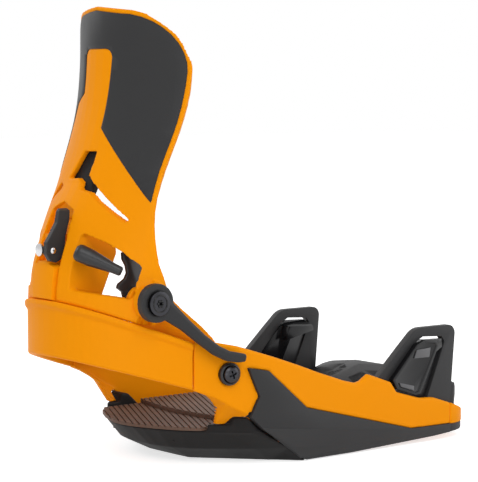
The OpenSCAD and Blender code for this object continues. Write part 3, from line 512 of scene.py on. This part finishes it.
def settle_on_rim(vertices):
    """Brings the highback's lower edge close to the hoop and draws in its near boss."""
    hoop = tree_of("heelcup")
    for v in vertices:
        spot = v.co
        if spot.z < RIM_TOP and spot.x < RIM_FRONT and v.normal.z < -0.1:
            hit = hoop.ray_cast(spot, Vector((0, 0, -1)), RIM_REACH)
            if hit[0] is not None:
                spot.z -= max(0.0, hit[3] - RIM_GAP)
        arm = Vector((spot.x - hinge.x, 0, spot.z - hinge.z))
        reach = arm.length / MM
        if stands_out(spot) and BOSS_HIDDEN < reach < BOSS_EDGE:
            spot.x, spot.z = (hinge + arm * (BOSS_HIDDEN / reach)).xz


def thin_lever(bm):
    cut(bm, (0, LEVER_FACE, 0), (0, 1, 0))


shells = [remould("highback", "orange", 0.55, 9, change=trim_shell, shift=settle_on_rim),
          remould("heelcup", "orange"), remould("baseplate", "orange"),
          remould("base_cushion", "foam", 0.7, 8), remould("release_lever", "grey", 0.4, 6),
          remould("highback_pad", "foam", 0.9, 8),
          remould("lean_lever", "grey", 0.25, 7, change=thin_lever)]
print("shells", len(shells))

# %% [markdown]
# ## The grey skin of the highback, and the small hardware
#
# The skin is a sheet under a millimetre thick, so a remesh would eat it. Its outline is already
# right and its surface only needs smooth shading with a very small edge radius. Screws, nuts,
# sleeves and small levers are bevelled like the crisp pieces, with a smaller radius.

# %% Skin and the thin or turned pieces
CRANK_FRONT, CRANK_UPPER, CRANK_WIDENED = -0.1165, 0.108, 0.003


def wide_back(bm):
    """Moves the upper part of the crank's toe side toward the toe."""
    for v in bm.verts:
        if v.co.x > CRANK_FRONT and v.co.z > CRANK_UPPER:
            v.co.x += CRANK_WIDENED


thin_pieces = [crisp("highback_skin", "grey", 0.15, 50.0, segments=1, hold=50.0),
               crisp("lever_crank", "black", 0.3, change=wide_back)]
for name in ("rocker_arm", "heelcup_washers"):
    thin_pieces.append(crisp(name, "black", 0.3))
for name in ("heelcup_screws", "hinge_bolts"):
    thin_pieces.append(crisp(name, "black steel", 0.2))
for name in ("heelcup_nuts", "toe_hook_screws", "hinge_sleeves", "latch_pawl", "lean_screw",
             "lean_pin"):
    thin_pieces.append(crisp(name, "steel", 0.2))
thin_pieces.append(crisp("lean_block", "orange", 0.5))
print("small pieces", len(thin_pieces))

# %% [markdown]
# ## The catches in the toe hooks
#
# Each catch is a glossy plate with a raised frame round its outer face and two matt pads inside the
# frame. Behind it a thin black web closes the lower window of the hook: a dark sheet put there as
# painted shade. The frame comes from insetting the outer face of the plate, which keeps its width
# even however the outline runs.

# %% Catches, their pads and the dark webs of painted shade behind them
FRAME_WIDTH, FRAME_DEPTH, FRAME_SLOPE = 1.5, 0.7, 0.3
PAD_FROM, PAD_TO = 68.6, 69.75
UPPER_PAD = [(75.4, 57.2), (87.0, 57.8), (86.0, 52.0), (73.4, 52.2)]
LOWER_PAD = [(61.2, 38.4), (73.4, 35.4), (73.2, 32.6), (62.4, 35.9)]
SHADE_WEB_FROM, SHADE_WEB_TO = 62.4, 63.6
SHADE_WEB = [(60, 26), (93, 22), (107, 61), (84, 61)]


def framed(bm, side):
    """Sinks the outer face of a catch inside a frame of even width."""
    outer = max(side * f.calc_center_median().y for f in bm.faces)
    plate = [f for f in bm.faces
             if side * f.calc_center_median().y > outer - 1e-5 and side * f.normal.y > 0.99]
    bmesh.ops.inset_region(bm, faces=plate, thickness=FRAME_WIDTH * MM, use_even_offset=True)
    bmesh.ops.inset_region(bm, faces=plate, thickness=FRAME_SLOPE * MM, depth=-FRAME_DEPTH * MM,
                           use_even_offset=True)


def plain(name, bm, body, finish, edge=0.3):
    """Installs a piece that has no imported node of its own."""
    piece = as_object(name, bm)
    bevel = piece.modifiers.new("edge radius", "BEVEL")
    bevel.width = edge * MM
    bevel.segments = 2
    apply_modifiers(piece)
    smooth_by_angle(piece, 38)
    piece.data.materials.append(finish_of[finish])
    return install(piece, body, slot_of[finish])


for side, name in ((-1, "lateral"), (1, "medial")):
    crisp("toe_catch_" + name, "black", 0.4, material=gloss_black, change=lambda bm: framed(bm, side))
    pads = bmesh.new()
    prism(pads, UPPER_PAD, side * PAD_FROM, side * PAD_TO)
    prism(pads, LOWER_PAD, side * PAD_FROM, side * PAD_TO)
    inlay = plain("toe_catch_%s_pads" % name, pads, "base", "grey")
    inlay.data.materials[0] = catch_pad
    # The web is a black sheet of painted shade in the hook's lower window.
    shade_web = bmesh.new()
    prism(shade_web, SHADE_WEB, side * SHADE_WEB_FROM, side * SHADE_WEB_TO)
    plain("toe_hook_%s_web" % name, shade_web, "base", "black")
print("catches framed")

# %% [markdown]
# ## A rivet head and a dark filler of painted shade
#
# The lean lever turns on a pin with a low domed head, which is a flattened sphere. A dark filler
# lies under the two footbeds as painted shade in the gap, so that no orange floor shows between them.

# %% A rivet head on the lean lever's pin, and the dark filler of painted shade under the footbeds
HEAD_RADIUS, HEAD_FLATTENED, HEAD_Y = 1.9, 0.45, -9.45
SHADE_FILLER_OUTLINE = [(-80, 13), (-34, 13), (-34, 20.6), (-80, 20.6)]
SHADE_FILLER_HALF_WIDTH = 30

rivet = bmesh.new()
bmesh.ops.create_uvsphere(rivet, u_segments=24, v_segments=12, radius=HEAD_RADIUS * MM)
for v in rivet.verts:
    v.co = Vector((v.co.x, v.co.y * HEAD_FLATTENED + HEAD_Y * MM, v.co.z)) + lean_pin_centre
plain("lean_pin_head", rivet, body_of["lean_pin"], "steel", 0.01)
# A dark block of painted shade in the gap between the footbeds.
shade_filler = bmesh.new()
prism(shade_filler, SHADE_FILLER_OUTLINE, -SHADE_FILLER_HALF_WIDTH, SHADE_FILLER_HALF_WIDTH)
plain("footbed_shade_filler", shade_filler, "base", "foam")
print("rivet and filler")

# %% [markdown]
# ## Painted shade in the seam between panel and cushion
#
# Where the side panel meets the cushion, the frame's faces are painted dark as the shade in the
# seam, and not left orange. They are found by their distance to the panels and take the foam's
# finish. A painted mask would do the same, but it would have to be drawn again after every change
# of shape.

# %% Painted shade on the frame where the panel meets the cushion
SEAM_REACH = 1.6
SEAM_FRONT, SEAM_HEEL, SEAM_TOP = -0.010, -0.052, 0.0295
SEAM_SLOPE, SEAM_MARGIN = 0.87, 0.0012


def under_seam(place):
    """Heel side of the seam's front end, and below the slanting line where panel and foam meet."""
    line = SEAM_TOP - SEAM_SLOPE * (place.x - SEAM_HEEL) + SEAM_MARGIN
    return place.x < SEAM_FRONT and place.z < line


def paint_near(piece, names, reach, finish, where):
    trees = [tree_of(n) for n in names]
    piece.data.materials.append(finish_of[finish])
    count = 0
    for face in piece.data.polygons:
        place = face.center
        if where(place) and any(t.find_nearest(place, reach * MM)[0] is not None for t in trees):
            face.material_index = len(piece.data.materials) - 1
            count += 1
    print(piece.name, "faces painted", count)


# The frame's faces in the seam take the foam's dark finish as painted shade.
paint_near(bpy.data.objects["baseplate_moulded"], ["side_panel_lateral", "side_panel_medial"],
           SEAM_REACH, "foam", under_seam)

# %% [markdown]
# ## The ribbed footbeds
#
# A boot's heel stands on fine slanting ribs. They repeat by a rule, so Geometry Nodes lay them: a
# row of long bars is instanced over the footbed and cut to its outline, with the spacing, slant,
# width and height as named inputs. The same tree serves both footbeds with other outlines.

# %% Build the tree that lays ribs over an outline
def ribs_tree():
    tree = bpy.data.node_groups.new("slanting ribs", "GeometryNodeTree")
    face = tree.interface
    face.new_socket("Outline", in_out="INPUT", socket_type="NodeSocketGeometry")
    defaults = {"Spacing": 0.0038, "Width": 0.0023, "Height": 0.0007, "Slant": 0.5, "Length": 0.2}
    for label, value in defaults.items():
        face.new_socket(label, in_out="INPUT", socket_type="NodeSocketFloat").default_value = value
    face.new_socket("Base", in_out="INPUT", socket_type="NodeSocketFloat")
    face.new_socket("Count", in_out="INPUT", socket_type="NodeSocketInt").default_value = 60
    face.new_socket("Finish", in_out="INPUT", socket_type="NodeSocketMaterial")
    face.new_socket("Ribs", in_out="OUTPUT", socket_type="NodeSocketGeometry")
    add, link = tree.nodes.new, tree.links.new
    given, result = add("NodeGroupInput"), add("NodeGroupOutput")

    row = add("GeometryNodeMeshLine")
    link(given.outputs["Count"], row.inputs["Count"])
    half_row = add("ShaderNodeMath")
    half_row.operation = "MULTIPLY"
    link(given.outputs["Spacing"], half_row.inputs[0])
    link(given.outputs["Count"], half_row.inputs[1])
    start = add("ShaderNodeCombineXYZ")
    centre = add("ShaderNodeMath")
    centre.operation = "MULTIPLY"
    link(half_row.outputs[0], centre.inputs[0])
    centre.inputs[1].default_value = -0.5
    link(centre.outputs[0], start.inputs["X"])
    link(given.outputs["Base"], start.inputs["Z"])
    step = add("ShaderNodeCombineXYZ")
    link(given.outputs["Spacing"], step.inputs["X"])
    link(start.outputs[0], row.inputs["Start Location"])
    link(step.outputs[0], row.inputs["Offset"])

    bar = add("GeometryNodeMeshCube")
    size = add("ShaderNodeCombineXYZ")
    link(given.outputs["Width"], size.inputs["X"])
    link(given.outputs["Length"], size.inputs["Y"])
    link(given.outputs["Height"], size.inputs["Z"])
    link(size.outputs[0], bar.inputs["Size"])
    turn = add("ShaderNodeCombineXYZ")
    link(given.outputs["Slant"], turn.inputs["Z"])
    lay = add("GeometryNodeInstanceOnPoints")
    link(row.outputs["Mesh"], lay.inputs["Points"])
    link(bar.outputs["Mesh"], lay.inputs["Instance"])
    link(turn.outputs[0], lay.inputs["Rotation"])
    real = add("GeometryNodeRealizeInstances")
    link(lay.outputs["Instances"], real.inputs["Geometry"])

    within = add("GeometryNodeMeshBoolean")
    within.operation = "INTERSECT"
    within.solver = "EXACT"
    link(real.outputs["Geometry"], within.inputs["Mesh 2"])
    link(given.outputs["Outline"], within.inputs["Mesh 2"])
    paint = add("GeometryNodeSetMaterial")
    link(within.outputs["Mesh"], paint.inputs["Geometry"])
    link(given.outputs["Finish"], paint.inputs["Material"])
    end = add("GeometryNodeRealizeInstances")
    link(paint.outputs["Geometry"], end.inputs["Geometry"])
    link(end.outputs["Geometry"], result.inputs["Ribs"])
    return tree


ribs = ribs_tree()
print("inputs", [s.name for s in ribs.interface.items_tree if s.in_out == "INPUT"])

# %% Run a tree on a piece and keep its result as a plain mesh
def run_tree(piece, tree, **values):
    modifier = piece.modifiers.new(tree.name, "NODES")
    modifier.node_group = tree
    names = {s.name: s.identifier for s in tree.interface.items_tree if s.in_out == "INPUT"}
    for label, value in values.items():
        modifier[names[label.replace("_", " ")]] = value
    return apply_modifiers(piece)


print("runner ready")

# %% [markdown]
# ## The heads of the hinge bolts
#
# Each head has a raised ring and a socket with lobes round it. Lobes repeat round a circle, so
# Geometry Nodes lay them: the ring's radius, the circle of the lobes, their size and their number
# are named inputs, and one tree serves both bolts. It works flat, and the result is turned to the
# axle and moved to its end.

# %% Build the tree of a ring and a star socket, and run it for both bolts
HEADS = {"near": -63.55, "far": 55.35}


def socket_tree():
    tree = bpy.data.node_groups.new("ring and star", "GeometryNodeTree")
    face = tree.interface
    for label, value in {"Ring": 0.0046, "Star": 0.0015, "Wire": 0.00045, "Lobe": 0.0008}.items():
        face.new_socket(label, in_out="INPUT", socket_type="NodeSocketFloat").default_value = value
    face.new_socket("Lobes", in_out="INPUT", socket_type="NodeSocketInt").default_value = 6
    face.new_socket("Finish", in_out="INPUT", socket_type="NodeSocketMaterial")
    face.new_socket("Head", in_out="OUTPUT", socket_type="NodeSocketGeometry")
    add, link = tree.nodes.new, tree.links.new
    given, result = add("NodeGroupInput"), add("NodeGroupOutput")
    path, wire = add("GeometryNodeCurvePrimitiveCircle"), add("GeometryNodeCurvePrimitiveCircle")
    path.inputs["Resolution"].default_value = 64
    wire.inputs["Resolution"].default_value = 10
    link(given.outputs["Ring"], path.inputs["Radius"])
    link(given.outputs["Wire"], wire.inputs["Radius"])
    ring = add("GeometryNodeCurveToMesh")
    link(path.outputs["Curve"], ring.inputs["Curve"])
    link(wire.outputs["Curve"], ring.inputs["Profile Curve"])
    spots, lobe = add("GeometryNodeMeshCircle"), add("GeometryNodeMeshUVSphere")
    link(given.outputs["Lobes"], spots.inputs["Vertices"])
    link(given.outputs["Star"], spots.inputs["Radius"])
    link(given.outputs["Lobe"], lobe.inputs["Radius"])
    lay = add("GeometryNodeInstanceOnPoints")
    link(spots.outputs["Mesh"], lay.inputs["Points"])
    link(lobe.outputs["Mesh"], lay.inputs["Instance"])
    both, real = add("GeometryNodeJoinGeometry"), add("GeometryNodeRealizeInstances")
    paint = add("GeometryNodeSetMaterial")
    link(ring.outputs["Mesh"], both.inputs["Geometry"])
    link(lay.outputs["Instances"], both.inputs["Geometry"])
    link(both.outputs["Geometry"], real.inputs["Geometry"])
    link(real.outputs["Geometry"], paint.inputs["Geometry"])
    link(given.outputs["Finish"], paint.inputs["Material"])
    link(paint.outputs["Geometry"], result.inputs["Head"])
    return tree


sockets = socket_tree()
turned_to_axle = Matrix.Rotation(math.pi / 2, 4, "X")
for name, head_y in HEADS.items():
    head = as_object("hinge_bolt_%s_head" % name, bmesh.new())
    run_tree(head, sockets, Finish=gloss_black)
    head.data.transform(Matrix.Translation(hinge + Vector((0, head_y, 0)) * MM) @ turned_to_axle)
    install(head, "base", slot_of["black steel"])
    print(head.name, len(head.data.polygons), "faces")


# %% [markdown]
# ## Slab and ribs
#
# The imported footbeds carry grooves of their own. Each slab is cut off one rib's height below its
# top, and the cut face, raised by that height, is the outline that the tree cuts its bars to.

# %% Cut a footbed into its slab and the outline of its ribs
LID_MARGIN = 0.0001


def footbed_parts(name, rib_height):
    """The footbed without its top grooves, and a lid of the ribs' height on top of it."""
    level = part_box(name)[1].z - rib_height
    bm = merged(name)
    everything = bm.verts[:] + bm.edges[:] + bm.faces[:]
    bmesh.ops.bisect_plane(bm, geom=everything, plane_co=Vector((0, 0, level)),
                           plane_no=Vector((0, 0, 1)), clear_outer=True)
    rim = [e for e in bm.edges if e.is_boundary]
    cap = (bmesh.ops.contextual_create(bm, geom=rim)["faces"]
           or bmesh.ops.holes_fill(bm, edges=rim)["faces"])
    lid = bmesh.new()
    bm.normal_update()
    for face in cap:
        lid.faces.new([lid.verts.new(v.co) for v in face.verts])
    bmesh.ops.remove_doubles(lid, verts=lid.verts, dist=1e-6)
    raised = bmesh.ops.extrude_face_region(lid, geom=lid.faces[:])["geom"]
    lifted = [v for v in raised if isinstance(v, bmesh.types.BMVert)]
    bmesh.ops.translate(lid, verts=lifted, vec=(0, 0, rib_height + LID_MARGIN))
    bmesh.ops.recalc_face_normals(lid, faces=lid.faces)
    return bm, lid, level


def ribbed(name, spacing=3.8, width=2.5, height=0.75, slant=-28, count=72):
    slab, lid, level = footbed_parts(name, height * MM)
    bed = as_object(name + "_slab", slab)
    smooth_by_angle(bed, 30)
    bed.data.materials.clear()
    bed.data.materials.append(tread)
    install(bed, body_of[name], "foam", name)
    top = as_object(name + "_ribs", lid)
    run_tree(top, ribs, Spacing=spacing * MM, Width=width * MM, Height=2 * height * MM,
             Slant=math.radians(slant), Base=level, Count=count, Finish=tread)
    print(top.name, len(top.data.polygons), "faces")
    return install(top, body_of[name], "foam")


footbeds = [ribbed("heel_footbed"), ribbed("mid_footbed")]
print("footbeds", [p.name for p in footbeds])

# %% [markdown]
# ## Floor and light
#
# A catalogue picture has a white room: a wide soft key high behind the camera, a weaker fill from
# the toe side, a low strip for the undersides, a rim light from the far side and a pale world. More
# lamp power would also whiten the floor, but it would bleach the orange first. So what the camera
# and the reflections see of the floor gets a little emission of its own, and the diffuse part under
# it still darkens where the binding blocks the light.

# %% What only the camera, mirrors and glass see
def seen_directly(tree):
    rays = tree.nodes.new("ShaderNodeLightPath")
    total = rays.outputs["Is Camera Ray"]
    for other in ("Is Glossy Ray", "Is Transmission Ray"):
        both = tree.nodes.new("ShaderNodeMath")
        both.operation = "MAXIMUM"
        tree.links.new(total, both.inputs[0])
        tree.links.new(rays.outputs[other], both.inputs[1])
        total = both.outputs[0]
    return total


print("ray helper ready")

# %% Floor
FLOOR_BELOW = 0.0002


def backdrop_material(colour, glow):
    material = bpy.data.materials.new("pale floor")
    material.use_nodes = True
    tree = material.node_tree
    tree.nodes.clear()
    matt = tree.nodes.new("ShaderNodeBsdfDiffuse")
    matt.inputs["Color"].default_value = (colour, colour, colour, 1)
    own = tree.nodes.new("ShaderNodeEmission")
    strength = tree.nodes.new("ShaderNodeMath")
    strength.operation = "MULTIPLY"
    strength.inputs[1].default_value = glow
    tree.links.new(seen_directly(tree), strength.inputs[0])
    tree.links.new(strength.outputs[0], own.inputs["Strength"])
    both = tree.nodes.new("ShaderNodeAddShader")
    tree.links.new(matt.outputs[0], both.inputs[0])
    tree.links.new(own.outputs[0], both.inputs[1])
    tree.links.new(both.outputs[0], tree.nodes.new("ShaderNodeOutputMaterial").inputs["Surface"])
    return material


floor_bm = bmesh.new()
bmesh.ops.create_grid(floor_bm, x_segments=1, y_segments=1, size=6.0)
bmesh.ops.translate(floor_bm, verts=floor_bm.verts, vec=(0, 0, cad_box[0][2] - FLOOR_BELOW))
floor = as_object("floor", floor_bm)
floor.data.materials.append(backdrop_material(colour=0.92, glow=0.7))
print("floor at", round(floor.data.vertices[0].co.z, 4))

# %% Lights and world
WORLD_LIGHT, WORLD_SEEN = 0.36, 1.0


def softbox(name, place, size, power):
    lamp = bpy.data.lights.new(name, "AREA")
    lamp.shape = "RECTANGLE"
    lamp.size, lamp.size_y = size
    lamp.energy = power
    box = bpy.data.objects.new(name, lamp)
    box.location = place
    box.rotation_euler = (aim - box.location).to_track_quat("-Z", "Y").to_euler()
    bpy.context.collection.objects.link(box)
    return box


softbox("key", Vector((-0.9, -1.5, 1.8)), (1.4, 1.4), 21)
softbox("fill", Vector((1.4, -1.0, 0.7)), (1.2, 1.2), 7)
softbox("low_fill", Vector((-1.1, -1.1, 0.14)), (0.9, 0.2), 2.5)
softbox("rim", Vector((-0.6, 1.4, 1.3)), (1.2, 1.2), 10)

world = bpy.data.worlds.new("studio")
bpy.context.scene.world = world
world.use_nodes = True
sky = world.node_tree
lit = sky.nodes["Background"]
lit.inputs["Color"].default_value = (1, 1, 1, 1)
lit.inputs["Strength"].default_value = WORLD_LIGHT
seen = sky.nodes.new("ShaderNodeBackground")
seen.inputs["Color"].default_value = (1, 1, 1, 1)
seen.inputs["Strength"].default_value = WORLD_SEEN
choose = sky.nodes.new("ShaderNodeMixShader")
sky.links.new(seen_directly(sky), choose.inputs["Fac"])
sky.links.new(lit.outputs["Background"], choose.inputs[1])
sky.links.new(seen.outputs["Background"], choose.inputs[2])
sky.links.new(choose.outputs["Shader"], sky.nodes["World Output"].inputs["Surface"])
bpy.context.scene.view_settings.view_transform = "Standard"
